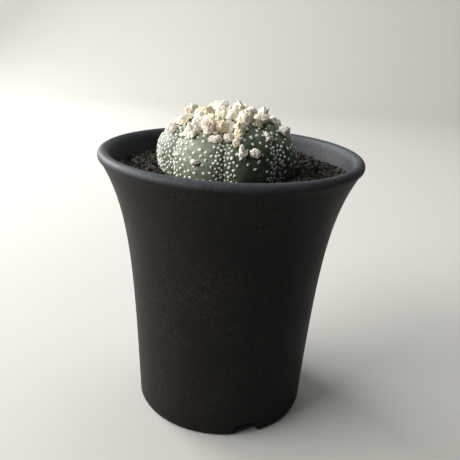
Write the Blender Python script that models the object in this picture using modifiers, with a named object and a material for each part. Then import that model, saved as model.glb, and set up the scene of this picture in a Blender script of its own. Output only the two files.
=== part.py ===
"""Potted round cactus: a spineless, ribbed star cactus in a tall, flared plastic pot.

The frame has +Z up and its origin on the table, at the centre of the pot's foot. The front is -Y.
Azimuths are measured round the Z axis from the front, towards +X. Blender works in metres.
"""

import math
import random

import bmesh
import bpy
from mathutils import Matrix, Vector

MM = 0.001

# Pot: a turned shell with a rolled lip, a raised floor and a foot ring with drainage notches.
POT_HEIGHT = 94.5 * MM
RIM_RADIUS = 45.0 * MM
FOOT_RADIUS = 30.9 * MM
WALL_TAPER = 0.043
FLARE_LENGTH = 18.0 * MM
LIP_RADIUS = 1.85 * MM
WALL_THICKNESS = 1.8 * MM
LIP_SWELL = 2.0 * MM
SWELL_LENGTH = 8.0 * MM
FLOOR_THICKNESS = 2.0 * MM
FOOT_HEIGHT = 5.0 * MM
FOOT_WIDTH = 2.8 * MM
FOOT_ROUNDING = 1.0 * MM
DRAIN_RADIUS = 5.0 * MM
NOTCH_COUNT = 3
NOTCH_WIDTH = 9.4 * MM
NOTCH_HEIGHT = 4.6 * MM
NOTCH_AZIMUTH = 18.5
TURNED_STEPS = 64
OUTER_STATIONS = 8
INNER_STATIONS = 5
LIP_STATIONS = 7

# Filling: a net over the drain hole, coarse pumice, then the dark grit that holds the plant.
TOUCH_GAP = 0.35 * MM
NET_RADIUS = 13.0 * MM
NET_THICKNESS = 0.9 * MM
NET_HOLE = 1.8 * MM
NET_PITCH = 3.6 * MM
NET_HOLES_EACH_WAY = 5
PUMICE_DEPTH = 18.0 * MM
SOIL_DROP = 6.9 * MM
SOIL_DISH = 0.5 * MM

# Plant: one ribbed body, a low dome above its widest level and a blunt root below it.
PLANT_X = -1.5 * MM
PLANT_Y = -1.0 * MM
BODY_RADIUS = 23.8 * MM
DOME_HEIGHT = 14.4 * MM
ROOT_DEPTH = 28.0 * MM
EQUATOR_RISE = 5.9 * MM
DOME_POWER = 2.2
ROOT_POWER = 1.75
RIB_COUNT = 8
RIB_DEPTH = 1.9 * MM
GROOVE_SHARPNESS = 0.75
GROOVE_START = 38.0
FRONT_FURROW = -2.0
FRONT_SPREAD = 3.0
CROWN_DIP = 0.9 * MM
CROWN_DIP_ANGLE = 16.0
BODY_SEGMENTS = 64
BODY_RINGS = 22

# Wool: the hand-placed tufts, each as
# (azimuth in degrees, degrees down from the crown, width in millimetres).
FRONT_WOOL = {
    "crown": [(-14, 16.5, 4.6), (73, 16, 3.9), (150, 12, 4.4), (-158, 18, 3.9), (13.5, 21, 4.2)],
    "rib_front_left": [
        (-53, 28, 3.5), (-32.5, 45, 3.5), (-33.5, 55, 4.0), (-43, 57, 2.2), (-20.5, 45, 4.2),
        (-21.5, 33, 4.2), (-9.5, 42, 3.9), (-11, 57, 3.4), (-24, 86.5, 2.5),
    ],
    "rib_front_right": [
        (4, 37.5, 3.0), (2, 53.5, 2.9), (13, 42, 3.2), (10.5, 52, 3.0), (8, 61, 2.6), (24, 30, 4.4),
        (38, 34, 3.1), (40, 53, 2.7), (13, 72.5, 3.2), (22, 72.5, 3.6),
    ],
    "rib_right": [(58, 30, 3.5), (74, 36, 2.7), (67, 52, 3.5)],
    "rib_left": [(-64.5, 56.5, 3.7), (-72, 48, 2.2), (-67, 40, 3.6), (-61, 20.5, 4.4)],
    "rib_back_left": [(-107.5, 31.5, 3.8), (-118, 83, 2.8)],
    "rib_back_right": [(112.5, 29, 3.4), (105, 44, 1.9), (121, 63, 2.6)],
}
# The rear ribs: on each one row of tufts, as (azimuth, degrees down from the crown), with a
# small seeded wander.
BACK_WOOL = {
    "rib_rear_right": (157, (30, 41, 52, 63)),
    "rib_rear_left": (-157, (30, 41, 52, 63)),
}
BACK_WIDTH = 3.4
BACK_WANDER = 4.0
WOOL_HEIGHT_SHARE = 0.62
WOOL_BASE_SHARE = 0.25
WOOL_LUMPINESS = 0.10
WOOL_CROWDING = 1.0
WOOL_SEED = 7


def add_material(name, rgb, roughness):
    """Return a Principled material of one colour, non-metallic."""
    material = bpy.data.materials.new(name)
    material.use_nodes = True
    shader = material.node_tree.nodes["Principled BSDF"]
    shader.inputs["Base Color"].default_value = (*rgb, 1.0)
    shader.inputs["Roughness"].default_value = roughness
    shader.inputs["Metallic"].default_value = 0.0
    return material


def add_object(name, mesh, collection, material=None):
    """Wrap a mesh in a named object, in its collection and with its material."""
    item = bpy.data.objects.new(name, mesh)
    collection.objects.link(item)
    if material:
        mesh.materials.append(material)
    return item


def add_turned(name, profile, closed, collection, material=None, centre=(0.0, 0.0)):
    """Turn a profile of (radius, height) points about the Z axis through centre.

    The profile runs down its outer side. An open one starts and ends on the axis.
    """
    mesh = bpy.data.meshes.new(name)
    count = len(profile)
    edges = [(index, index + 1) for index in range(count - 1)]
    if closed:
        edges.append((count - 1, 0))
    mesh.from_pydata([(radius, 0.0, height) for radius, height in profile], edges, [])
    item = add_object(name, mesh, collection, material)
    item.location = (centre[0], centre[1], 0.0)
    screw = item.modifiers.new("turn", "SCREW")
    screw.axis = "Z"
    screw.steps = TURNED_STEPS
    screw.render_steps = TURNED_STEPS
    screw.use_merge_vertices = True
    screw.merge_threshold = 0.00001
    screw.use_smooth_shade = True
    return item


def cut(item, cutter, name):
    """Subtract a closed cutter from an item."""
    boolean = item.modifiers.new(name, "BOOLEAN")
    boolean.operation = "DIFFERENCE"
    boolean.solver = "EXACT"
    boolean.object = cutter


def mark_cutter(item):
    """Show a cutter as wires and keep it out of the model."""
    item.hide_render = True
    item.display_type = "WIRE"


def arc(centre, radius, start, end, stations):
    """Points of (radius, height) along a circular arc, angles in degrees from outwards."""
    points = []
    for index in range(stations + 1):
        angle = math.radians(start + (end - start) * index / stations)
        points.append((centre[0] + radius * math.cos(angle), centre[1] + radius * math.sin(angle)))
    return points


LIP_HEIGHT = POT_HEIGHT - LIP_RADIUS
FLOOR_TOP = FOOT_HEIGHT + FLOOR_THICKNESS
SOIL_LEVEL = POT_HEIGHT - SOIL_DROP
EQUATOR_HEIGHT = SOIL_LEVEL + EQUATOR_RISE


def outer_radius(height):
    """Outer radius of the pot: a gentle straight taper plus a flare that grows up to the rim."""
    def taper(level):
        return FOOT_RADIUS + WALL_TAPER * level

    flare = RIM_RADIUS - taper(LIP_HEIGHT)
    return taper(height) + flare * math.exp((height - LIP_HEIGHT) / FLARE_LENGTH)


def inner_radius(height):
    """Inner radius of the pot: the wall thickens towards the lip until it is flush with it."""
    swell = LIP_SWELL * math.exp((height - LIP_HEIGHT) / SWELL_LENGTH)
    return outer_radius(height) - WALL_THICKNESS - swell


def heights_between(low, high, count):
    """Heights from low to high, closer together towards the flare at the top."""
    return [low + (high - low) * (index / count) ** 0.75 for index in range(count + 1)]


def pot_profile():
    """Closed outline of the pot's wall, lip, foot ring and pierced floor."""
    lip_centre = (RIM_RADIUS - LIP_RADIUS, LIP_HEIGHT)
    outline = arc(lip_centre, LIP_RADIUS, 160.0, -30.0, LIP_STATIONS)
    wall_top = outline[-1][1] - LIP_RADIUS / 4
    wall_heights = heights_between(FOOT_ROUNDING, wall_top, OUTER_STATIONS)
    outline += [(outer_radius(height), height) for height in reversed(wall_heights[1:])]
    outline += arc((FOOT_RADIUS - FOOT_ROUNDING, FOOT_ROUNDING), FOOT_ROUNDING, 0.0, -90.0, 3)
    outline += [(FOOT_RADIUS - FOOT_WIDTH, 0.0), (FOOT_RADIUS - FOOT_WIDTH, FOOT_HEIGHT)]
    outline += [(DRAIN_RADIUS, FOOT_HEIGHT), (DRAIN_RADIUS, FLOOR_TOP)]
    inner_heights = heights_between(FLOOR_TOP, LIP_HEIGHT - LIP_RADIUS / 2, INNER_STATIONS)
    outline += [(inner_radius(height), height) for height in inner_heights]
    return outline


def add_notch_cutter(index, collection):
    """An arched prism that opens the foot ring, lying along its azimuth."""
    azimuth = math.radians(NOTCH_AZIMUTH + index * 360.0 / NOTCH_COUNT)
    mesh = bpy.data.meshes.new(f"notch_cutter_{index + 1}")
    shape = bmesh.new()
    bmesh.ops.create_cone(shape, cap_ends=True, segments=24, radius1=1.0, radius2=1.0, depth=1.0)
    length = 3.0 * FOOT_WIDTH
    for vertex in shape.verts:
        across, up, along = vertex.co.x, vertex.co.y, vertex.co.z
        reach = FOOT_RADIUS - FOOT_WIDTH / 2 + along * length
        place = Vector((across * NOTCH_WIDTH / 2, -reach, up * NOTCH_HEIGHT))
        vertex.co = Matrix.Rotation(azimuth, 3, "Z") @ place
    shape.to_mesh(mesh)
    shape.free()
    cutter = add_object(mesh.name, mesh, collection)
    mark_cutter(cutter)
    return cutter


def add_pot(collection, cutters):
    """The pot, with its foot ring notched for drainage."""
    material = add_material("pot_black_plastic", (0.018, 0.018, 0.019), 0.55)
    pot = add_turned("pot", pot_profile(), True, collection, material)
    for index in range(NOTCH_COUNT):
        cut(pot, add_notch_cutter(index, cutters), f"notch_{index + 1}")
    return pot


def add_drain_net(collection, cutters):
    """A disc of plastic net that lies on the floor and keeps the pumice off the drain hole."""
    base = FLOOR_TOP + TOUCH_GAP
    profile = [(0.0, base + NET_THICKNESS), (NET_RADIUS, base + NET_THICKNESS), (NET_RADIUS, base), (0.0, base)]
    net = add_turned("drain_net", profile, False, collection,
                     add_material("net_plastic", (0.02, 0.05, 0.04), 0.5))
    mesh = bpy.data.meshes.new("net_holes")
    shape = bmesh.new()
    first = -(NET_HOLES_EACH_WAY - 1) / 2 * NET_PITCH
    for column in range(NET_HOLES_EACH_WAY):
        for row in range(NET_HOLES_EACH_WAY):
            centre = Vector((first + column * NET_PITCH, first + row * NET_PITCH, base))
            place = Matrix.Translation(centre) @ Matrix.Diagonal((NET_HOLE, NET_HOLE, 4 * NET_THICKNESS, 1.0))
            bmesh.ops.create_cube(shape, size=1.0, matrix=place)
    shape.to_mesh(mesh)
    shape.free()
    holes = add_object("net_holes", mesh, cutters)
    mark_cutter(holes)
    cut(net, holes, "holes")
    return net


def fill_side(low, high, count):
    """Outer side of a filling, from high down to low, clear of the pot's wall."""
    levels = [low + (high - low) * index / count for index in range(count + 1)]
    return [(inner_radius(level) - TOUCH_GAP, level) for level in reversed(levels)]


def add_pumice(collection):
    """The coarse drainage layer, hollowed underneath for the net."""
    low = FLOOR_TOP + TOUCH_GAP
    net_top = low + NET_THICKNESS + TOUCH_GAP
    high = FLOOR_TOP + PUMICE_DEPTH
    profile = [(0.0, high)] + fill_side(low, high, 2)
    profile += [(NET_RADIUS + TOUCH_GAP, low), (NET_RADIUS + TOUCH_GAP, net_top), (0.0, net_top)]
    material = add_material("pumice", (0.55, 0.50, 0.42), 0.95)
    return add_turned("drainage_pumice", profile, False, collection, material)


def meridian(angle, grow=0.0):
    """(radius, height) of the plant's outline over a rib, at an angle down from the crown.

    Above the widest level the outline is a superellipse, below it a blunter, pointed one. A
    positive grow moves it outwards, as a fit clearance does.
    """
    side = math.sin(math.radians(angle))
    drop = math.cos(math.radians(angle))
    if drop >= 0.0:
        rise = (DOME_HEIGHT + grow) * drop ** (2.0 / DOME_POWER)
        rise -= CROWN_DIP * math.exp(-((angle / CROWN_DIP_ANGLE) ** 2))
        return (BODY_RADIUS + grow) * side ** (2.0 / DOME_POWER), EQUATOR_HEIGHT + rise
    sink = (ROOT_DEPTH + grow) * (-drop) ** (2.0 / ROOT_POWER)
    return (BODY_RADIUS + grow) * max(side, 0.0) ** (2.0 / ROOT_POWER), EQUATOR_HEIGHT - sink


def spread(phase):
    """Azimuth of an even rib phase: the ribs at the front stand a little wider than the rest."""
    return FRONT_FURROW + phase + FRONT_SPREAD * math.sin(math.radians(phase))


def phase_of(azimuth):
    """Rib phase of an azimuth, the inverse of spread."""
    phase = azimuth - FRONT_FURROW
    for _ in range(4):
        phase = azimuth - FRONT_FURROW - FRONT_SPREAD * math.sin(math.radians(phase))
    return phase


def groove_depth(phase, angle):
    """Depth of the furrows: sharp between broad ribs, none at the crown or down the root."""
    across = abs(math.sin(math.radians(RIB_COUNT * phase / 2))) ** GROOVE_SHARPNESS
    start = min(1.0, max(0.0, angle / GROOVE_START))
    fade = start * start * (3.0 - 2.0 * start)
    if angle > 90.0:
        fade *= max(0.0, math.sin(math.radians(angle))) ** 3
    return RIB_DEPTH * (1.0 - across) * fade


def body_point(phase, angle):
    """Point on the plant's skin at a rib phase and an angle down from the crown, in degrees."""
    radius, height = meridian(angle)
    depth = groove_depth(phase, angle)
    radius = max(0.0, radius - depth * math.sin(math.radians(angle)))
    height -= depth * math.cos(math.radians(angle))
    azimuth = math.radians(spread(phase))
    return Vector((PLANT_X + radius * math.sin(azimuth), PLANT_Y - radius * math.cos(azimuth), height))


def add_cactus_body(collection):
    """The plant: a round body with broad ribs, grown as one piece down to its root."""
    shape = bmesh.new()
    bmesh.ops.create_uvsphere(shape, u_segments=BODY_SEGMENTS, v_segments=BODY_RINGS, radius=1.0)
    for vertex in shape.verts:
        angle = math.degrees(math.acos(max(-1.0, min(1.0, vertex.co.z))))
        phase = math.degrees(math.atan2(vertex.co.x, -vertex.co.y))
        vertex.co = body_point(phase, angle)
    mesh = bpy.data.meshes.new("cactus_body")
    shape.to_mesh(mesh)
    shape.free()
    mesh.shade_smooth()
    return add_object("cactus_body", mesh, collection, add_material("cactus_skin", (0.10, 0.15, 0.09), 0.6))


def add_soil(collection, cutters):
    """The dark grit: it fills the pot above the pumice and is hollowed where the plant sits."""
    low = FLOOR_TOP + PUMICE_DEPTH + TOUCH_GAP
    profile = [(0.0, SOIL_LEVEL - SOIL_DISH), (BODY_RADIUS, SOIL_LEVEL - SOIL_DISH)]
    profile += fill_side(low, SOIL_LEVEL, 7) + [(0.0, low)]
    soil = add_turned("soil", profile, False, collection, add_material("soil_grit", (0.035, 0.027, 0.021), 0.95))
    start = 78.0
    angles = [start + (180.0 - start) * index / 14 for index in range(15)]
    hollow = [meridian(angle, TOUCH_GAP) for angle in angles]
    hollow[-1] = (0.0, hollow[-1][1])
    lid = (0.0, hollow[0][1])
    cutter = add_turned("plant_hollow", [lid] + hollow, False, cutters, centre=(PLANT_X, PLANT_Y))
    mark_cutter(cutter)
    cut(soil, cutter, "plant_hollow")
    return soil


def wool_places():
    """Name, azimuth, crown angle and width of every tuft, front ones first."""
    wander = random.Random(WOOL_SEED)
    places = []
    for rib, tufts in FRONT_WOOL.items():
        for number, (azimuth, angle, width) in enumerate(tufts, start=1):
            places.append((f"areole_{rib}_{number}", azimuth, angle, width * MM))
    for rib, (crest, angles) in BACK_WOOL.items():
        for number, angle in enumerate(angles, start=1):
            azimuth = crest + wander.uniform(-BACK_WANDER, BACK_WANDER)
            down = angle + wander.uniform(-0.5, 0.5) * BACK_WANDER
            width = BACK_WIDTH * wander.uniform(0.8, 1.1) * MM
            places.append((f"areole_{rib}_{number}", azimuth, down, width))
    return places


def skin_frame(azimuth, angle):
    """Skin point, outward normal and downhill direction at an azimuth and crown angle."""
    phase = phase_of(azimuth)
    step = 1.5
    down = body_point(phase, angle + step) - body_point(phase, angle - step)
    around = body_point(phase + step, angle) - body_point(phase - step, angle)
    normal = down.cross(around).normalized()
    return body_point(phase, angle), normal, down.normalized()


def fitted_widths(points, widths):
    """Widths shrunk where needed, so that every two neighbours keep the touching gap."""
    fitted = list(widths)
    for first, point in enumerate(points):
        for second, other in enumerate(points):
            if first != second:
                room = (point - other).length - TOUCH_GAP
                share = widths[first] / (widths[first] + widths[second])
                fitted[first] = min(fitted[first], 2.0 * room * share / WOOL_CROWDING)
    return fitted


def add_tuft(name, point, normal, down, width, collection, material, dice):
    """One woolly tuft: a lumpy cushion, flat underneath, that stands just clear of the skin."""
    height = width * WOOL_HEIGHT_SHARE
    base = height * WOOL_BASE_SHARE
    shape = bmesh.new()
    bmesh.ops.create_icosphere(shape, subdivisions=2, radius=1.0)
    across = normal.cross(down)
    centre = point + normal * (TOUCH_GAP + base)
    for vertex in shape.verts:
        lump = 1.0 - WOOL_LUMPINESS * dice.random()
        local = vertex.co * lump
        rise = local.z * (height if local.z > 0.0 else base)
        place = down * local.x + across * local.y
        vertex.co = centre + place * (width / 2) + normal * rise
    bmesh.ops.recalc_face_normals(shape, faces=shape.faces)
    mesh = bpy.data.meshes.new(name)
    shape.to_mesh(mesh)
    shape.free()
    mesh.shade_smooth()
    return add_object(name, mesh, collection, material)


def add_wool(collection):
    """Every tuft of wool on the plant's areoles."""
    material = add_material("areole_wool", (0.80, 0.74, 0.62), 0.95)
    dice = random.Random(WOOL_SEED)
    places = wool_places()
    frames = [skin_frame(azimuth, angle) for _, azimuth, angle, _ in places]
    wanted = [width for _, _, _, width in places]
    middles = [point + normal * width * WOOL_HEIGHT_SHARE / 2 for (point, normal, _), width in zip(frames, wanted)]
    widths = fitted_widths(middles, wanted)
    for place, frame, width in zip(places, frames, widths):
        add_tuft(place[0], *frame, width, collection, material, dice)


def main():
    """Clear the scene and build the potted cactus."""
    for item in list(bpy.data.objects):
        bpy.data.objects.remove(item, do_unlink=True)
    model = bpy.data.collections.new("potted_round_cactus")
    cutters = bpy.data.collections.new("cutters")
    bpy.context.scene.collection.children.link(model)
    bpy.context.scene.collection.children.link(cutters)
    add_pot(model, cutters)
    add_drain_net(model, cutters)
    add_pumice(model)
    add_soil(model, cutters)
    add_cactus_body(model)
    add_wool(model)


main()
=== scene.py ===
"""Potted round cactus: the visual model.

A spineless, ribbed star cactus with white flecks and woolly areoles grows in dark volcanic grit in
a tall, flared plastic pot. Every surface is a formula on a grid, worked out with numpy, in the frame
of the CAD model: metres, +Z up, the front towards -Y. Azimuths are measured round the Z axis from
the front, towards +X.
"""

from __future__ import annotations

import logging
import math
from collections.abc import Callable
from dataclasses import dataclass, field
from enum import Enum
from functools import partial

import bpy
import numpy as np
from mathutils import Matrix, Vector


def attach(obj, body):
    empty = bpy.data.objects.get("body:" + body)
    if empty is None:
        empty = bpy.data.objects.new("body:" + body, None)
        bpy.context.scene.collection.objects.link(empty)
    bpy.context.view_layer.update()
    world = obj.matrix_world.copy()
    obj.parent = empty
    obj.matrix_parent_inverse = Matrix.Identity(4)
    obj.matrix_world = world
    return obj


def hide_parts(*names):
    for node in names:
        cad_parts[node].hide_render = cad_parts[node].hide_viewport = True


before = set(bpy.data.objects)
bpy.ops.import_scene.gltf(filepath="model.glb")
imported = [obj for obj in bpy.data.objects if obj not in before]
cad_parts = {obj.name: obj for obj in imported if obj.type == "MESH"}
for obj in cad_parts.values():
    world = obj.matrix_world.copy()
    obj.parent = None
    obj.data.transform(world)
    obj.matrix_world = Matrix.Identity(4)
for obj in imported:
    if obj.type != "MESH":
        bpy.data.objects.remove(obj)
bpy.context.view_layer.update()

LOG = logging.getLogger("potted_cactus")
MM = 0.001
TURN = 2.0 * math.pi
SEED = 20

Socket = bpy.types.NodeSocket
Adder = Callable[..., bpy.types.Node]


# ---- Helpers ----

def linear(code: str) -> tuple[float, float, float, float]:
    """Turn an sRGB hex colour into a linear one.

    Args:
        code: six hex digits, as in "#3f4a38".

    Returns:
        Red, green, blue and an alpha of 1, each from 0 to 1.
    """
    parts = [int(code[start:start + 2], 16) / 255.0 for start in (1, 3, 5)]
    red, green, blue = (p / 12.92 if p <= 0.04045 else ((p + 0.055) / 1.055) ** 2.4 for p in parts)
    return red, green, blue, 1.0


def add_node(
        tree: bpy.types.NodeTree, kind: str, inputs: dict | None = None, **settings) -> bpy.types.Node:
    """Add a node with its settings, values and links.

    Args:
        tree: the node tree.
        kind: the node's type name.
        inputs: socket name or index to a value, or to the socket that is linked in.
        settings: the node's own properties.

    Returns:
        The new node.
    """
    node = tree.nodes.new(kind)
    for name, value in settings.items():
        setattr(node, name, value)
    for key, value in (inputs or {}).items():
        if isinstance(value, Socket):
            tree.links.new(value, node.inputs[key])
        else:
            node.inputs[key].default_value = value
    return node


def per_mm(size: float) -> float:
    """Scale of a pattern whose features measure so many mm."""
    return 1.0 / (size * MM)


def build_mesh(name: str, points: np.ndarray, faces: list[np.ndarray]) -> bpy.types.Mesh:
    """Put points and faces into a new mesh.

    Args:
        name: the mesh's name.
        points: an (n, 3) array of places in metres.
        faces: (m, k) arrays of point numbers, one array for each number of corners k.

    Returns:
        The mesh, shaded smooth.
    """
    mesh = bpy.data.meshes.new(name)
    corners = np.concatenate([block.ravel() for block in faces]).astype(np.int32)
    sizes = np.concatenate([np.full(len(block), block.shape[1]) for block in faces])
    starts = np.concatenate([[0], np.cumsum(sizes)[:-1]]).astype(np.int32)
    mesh.vertices.add(len(points))
    mesh.vertices.foreach_set("co", np.ascontiguousarray(points, dtype=np.float32).ravel())
    mesh.loops.add(len(corners))
    mesh.loops.foreach_set("vertex_index", corners)
    mesh.polygons.add(len(sizes))
    mesh.polygons.foreach_set("loop_start", starts)
    mesh.update(calc_edges=True)
    mesh.validate()
    mesh.shade_smooth()
    return mesh


def paint(mesh: bpy.types.Mesh, name: str, colours: np.ndarray) -> None:
    """Store one linear colour or share for each point, as a named attribute.

    Args:
        mesh: the mesh.
        name: the attribute's name.
        colours: an (n, 3) array of linear colours, or (n, 1) of shares.
    """
    layer = mesh.attributes.new(name, "FLOAT_COLOR", "POINT")
    full = np.ones((len(colours), 4), np.float32)
    full[:, :3] = colours
    layer.data.foreach_set("color", full.ravel())


def add_piece(mesh: bpy.types.Mesh, finish: Finish, replaced: list[str]) -> bpy.types.Object:
    """Make a piece of the object that rides on the root body and stands for CAD nodes.

    Args:
        mesh: the piece's mesh, whose name the piece takes.
        finish: the finish it is made in.
        replaced: the CAD nodes that it stands for.

    Returns:
        The new object.
    """
    piece = bpy.data.objects.new(mesh.name, mesh)
    bpy.context.scene.collection.objects.link(piece)
    mesh.materials.append(finish.material())
    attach(piece, "root")
    if replaced:
        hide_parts(*replaced)
    LOG.info("%s: %d faces, %s", piece.name, len(mesh.polygons), finish.name)
    return piece


def grid_quads(rows: int, columns: int, closed_rows: bool) -> np.ndarray:
    """Quads of a grid whose columns run round and close.

    Args:
        rows: the number of rows.
        columns: the number of columns.
        closed_rows: whether the last row joins the first.

    Returns:
        An (m, 4) array of point numbers, row after row.
    """
    row = np.arange(rows if closed_rows else rows - 1)[:, None]
    column = np.arange(columns)[None, :]
    below, beside = (row + 1) % rows, (column + 1) % columns
    this, after = row * columns, below * columns
    corners = np.broadcast_arrays(this + column, after + column, after + beside, this + beside)
    return np.stack(corners, axis=-1).reshape(-1, 4)


def capped_faces(rows: int, columns: int) -> list[np.ndarray]:
    """Faces of a closed form: a grid of rings, then one point for each of its two poles.

    Args:
        rows: the number of rings, from the first pole to the last.
        columns: the points in a ring.

    Returns:
        The quads between the rings and the triangles round both poles.
    """
    start = np.arange(columns)
    beside = (start + 1) % columns
    first = np.full(columns, rows * columns)
    last_row = (rows - 1) * columns
    top = np.stack([first, start, beside], axis=-1)
    bottom = np.stack([first + 1, last_row + beside, last_row + start], axis=-1)
    return [grid_quads(rows, columns, False), np.concatenate([top, bottom])]


def capped_triangles(rows: int, columns: int) -> np.ndarray:
    """The faces of capped_faces with every quad split in two."""
    quads, caps = capped_faces(rows, columns)
    return np.concatenate([quads[:, :3], quads[:, [0, 2, 3]], caps])


def join_copies(points: np.ndarray, faces: np.ndarray) -> tuple[np.ndarray, np.ndarray]:
    """Join many copies of one small form.

    Args:
        points: an (n, p, 3) array, the p points of each of n copies.
        faces: the (m, k) faces of one copy.

    Returns:
        All points as (n * p, 3), and all faces.
    """
    count, size = points.shape[:2]
    steps = (np.arange(count) * size)[:, None, None]
    return points.reshape(-1, 3), (faces[None] + steps).reshape(-1, faces.shape[1])


def unit(vectors: np.ndarray) -> np.ndarray:
    """Scale vectors to length one."""
    return vectors / np.maximum(np.linalg.norm(vectors, axis=-1, keepdims=True), 1e-12)


def smooth_step(low: float, high: float, values: np.ndarray) -> np.ndarray:
    """Rise smoothly from 0 at low to 1 at high."""
    share = np.clip((values - low) / (high - low), 0.0, 1.0)
    return share * share * (3.0 - 2.0 * share)


def ripples(points: np.ndarray, wave: float, count: int, seed: int) -> np.ndarray:
    """Smooth random relief: a sum of plane sine waves in seeded directions.

    Args:
        points: an (..., 3) array of places.
        wave: the mean wavelength, in the points' own unit.
        count: the number of waves.
        seed: the seed of their directions and phases.

    Returns:
        Values of about -1 to 1.
    """
    dice = np.random.default_rng(seed)
    directions = unit(dice.normal(size=(count, 3)))
    lengths = wave * dice.uniform(0.7, 1.4, size=count)
    phases = dice.uniform(0.0, TURN, size=count)
    waves = np.sin((points @ directions.T) * (TURN / lengths) + phases)
    return waves.sum(axis=-1) / math.sqrt(count)


def bell(phase: np.ndarray, middle: float, width: float) -> np.ndarray:
    """Bell curve over rib phases in degrees: e to minus the square of the distance in widths."""
    return np.exp(-((((phase - middle + 180.0) % 360.0 - 180.0) / width) ** 2))


def rotated(x: np.ndarray, y: np.ndarray, turn: np.ndarray) -> tuple[np.ndarray, np.ndarray]:
    """Turn the places x, y by an angle in radians."""
    cosine, sine = np.cos(turn), np.sin(turn)
    return x * cosine - y * sine, x * sine + y * cosine


def arc(centre: tuple[float, float], radius: float, start: float, end: float, count: int) -> np.ndarray:
    """Points (radius, height) of a circular arc: centre plus radius times (cos, sin) of the angle.

    Args:
        centre: the arc's centre.
        radius: its radius.
        start: its first angle in degrees, from outwards.
        end: its last angle.
        count: the number of points.

    Returns:
        A (count, 2) array.
    """
    angles = np.radians(np.linspace(start, end, count))
    return np.stack([centre[0] + radius * np.cos(angles), centre[1] + radius * np.sin(angles)], axis=-1)


def line(start: tuple[float, float], end: tuple[float, float], count: int) -> np.ndarray:
    """Points (radius, height) of a straight run, without its last point."""
    return np.linspace(start, end, count, endpoint=False)


# ---- Finishes ----

@dataclass(frozen=True)
class Finish:
    """A finish: its name, the slot that it belongs to, and its roughness and IOR."""

    name: str
    slot: str
    roughness: float
    ior: float

    def material(self) -> bpy.types.Material:
        """Return the finish's material, made once."""
        material = bpy.data.materials.get(self.name)
        if material is None:
            material = bpy.data.materials.new(self.name)
            material.use_nodes = True
            tree = material.node_tree
            shader = tree.nodes["Principled BSDF"]
            values = {"Roughness": self.roughness, "IOR": self.ior, **self.constants()}
            for socket, value in values.items():
                shader.inputs[socket].default_value = value
            place = add_node(tree, "ShaderNodeTexCoord").outputs["Object"]
            for socket, source in self.patterns(partial(add_node, tree), place).items():
                tree.links.new(source, shader.inputs[socket])
        return material

    def constants(self) -> dict[str, object]:
        """Values for the shader's own sockets, besides roughness and IOR."""
        return {}

    def patterns(self, add: Adder, place: Socket) -> dict[str, Socket]:
        """Add the finish's nodes.

        Args:
            add: adds a node to the material, as add_node does.
            place: the Object coordinates.

        Returns:
            The outputs to link in, each under the name of the shader's socket that it feeds.
        """
        raise NotImplementedError


@dataclass(frozen=True)
class MouldedPlastic(Finish):
    """Injection-moulded polypropylene from a spark-eroded tool: dull, with a fine even grain.

    The grain scatters the light, so the wall has no sharp highlight, and the low relief of the
    moulding and a little dust give the faint speckle and clouding of a handled nursery pot. On the
    lip and inside the rim, a grey film in fine streaks is part dried lime and part painted sheen,
    which lightens the black where the light would catch it.
    The real grain is about 0.1 mm, too fine to show, so it is drawn coarser.
    """

    colour: str
    dusty: str
    grain_mm: float
    grain_depth_mm: float
    cloud_mm: float
    dust_share: float
    specular: float
    lime_and_painted_sheen: str
    speck_grains: float = 1.1
    streak_mm: float = 0.6
    streak_squash: float = 0.15

    def constants(self) -> dict[str, object]:
        """The weak reflection of a grained wall."""
        return {"Specular IOR Level": self.specular}

    def patterns(self, add: Adder, place: Socket) -> dict[str, Socket]:
        """Cloud and speckle the colour, streak the dried lime and painted sheen, and grain the surface."""
        cloud = add("ShaderNodeTexNoise", {
            "Vector": place, "Scale": per_mm(self.cloud_mm), "Detail": 4.0, "Roughness": 0.6})
        speck = add("ShaderNodeTexNoise", {
            "Vector": place, "Scale": per_mm(self.speck_grains * self.grain_mm), "Detail": 2.0,
            "Roughness": 0.6})
        specks = add("ShaderNodeMapRange", {
            "Value": speck.outputs["Fac"], "From Min": 0.42, "From Max": 0.78})
        clouds = add("ShaderNodeMapRange", {
            "Value": cloud.outputs["Fac"], "From Min": 0.35, "From Max": 0.70, "To Min": 0.15})
        amount = add("ShaderNodeMath", {0: specks.outputs[0], 1: clouds.outputs[0]}, operation="MULTIPLY")
        dust = add("ShaderNodeMath", {0: amount.outputs[0], 1: self.dust_share}, operation="MULTIPLY")
        base = add("ShaderNodeMix", {
            0: dust.outputs[0], 6: linear(self.colour), 7: linear(self.dusty)}, data_type="RGBA")
        upright = add("ShaderNodeMapping", {"Vector": place, "Scale": (1.0, 1.0, self.streak_squash)})
        streaks = add("ShaderNodeTexNoise", {
            "Vector": upright.outputs[0], "Scale": per_mm(self.streak_mm), "Detail": 3.0,
            "Roughness": 0.6})
        patch = add("ShaderNodeMapRange", {
            "Value": streaks.outputs["Fac"], "From Min": 0.30, "From Max": 0.70, "To Min": 0.55,
            "To Max": 1.10})
        # The attribute paints dried lime and a painted sheen on the lip and the inner wall.
        lime_and_sheen = add("ShaderNodeAttribute", attribute_name="lime_and_painted_sheen")
        limed_and_sheened = add("ShaderNodeMath", {0: lime_and_sheen.outputs["Fac"], 1: patch.outputs[0]}, operation="MULTIPLY")
        colour = add("ShaderNodeMix", {
            0: limed_and_sheened.outputs[0], 6: base.outputs[2], 7: linear(self.lime_and_painted_sheen)}, data_type="RGBA")
        grain = add("ShaderNodeTexNoise", {
            "Vector": place, "Scale": per_mm(self.grain_mm), "Detail": 2.0})
        bump = add("ShaderNodeBump", {
            "Height": grain.outputs["Fac"], "Strength": 0.55, "Distance": self.grain_depth_mm * MM})
        gloss = add("ShaderNodeMapRange", {
            "Value": cloud.outputs["Fac"], "From Min": 0.3, "From Max": 0.7,
            "To Min": self.roughness - 0.05, "To Max": self.roughness + 0.06})
        return {"Base Color": colour.outputs[2], "Roughness": gloss.outputs[0],
                "Normal": bump.outputs["Normal"]}


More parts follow.
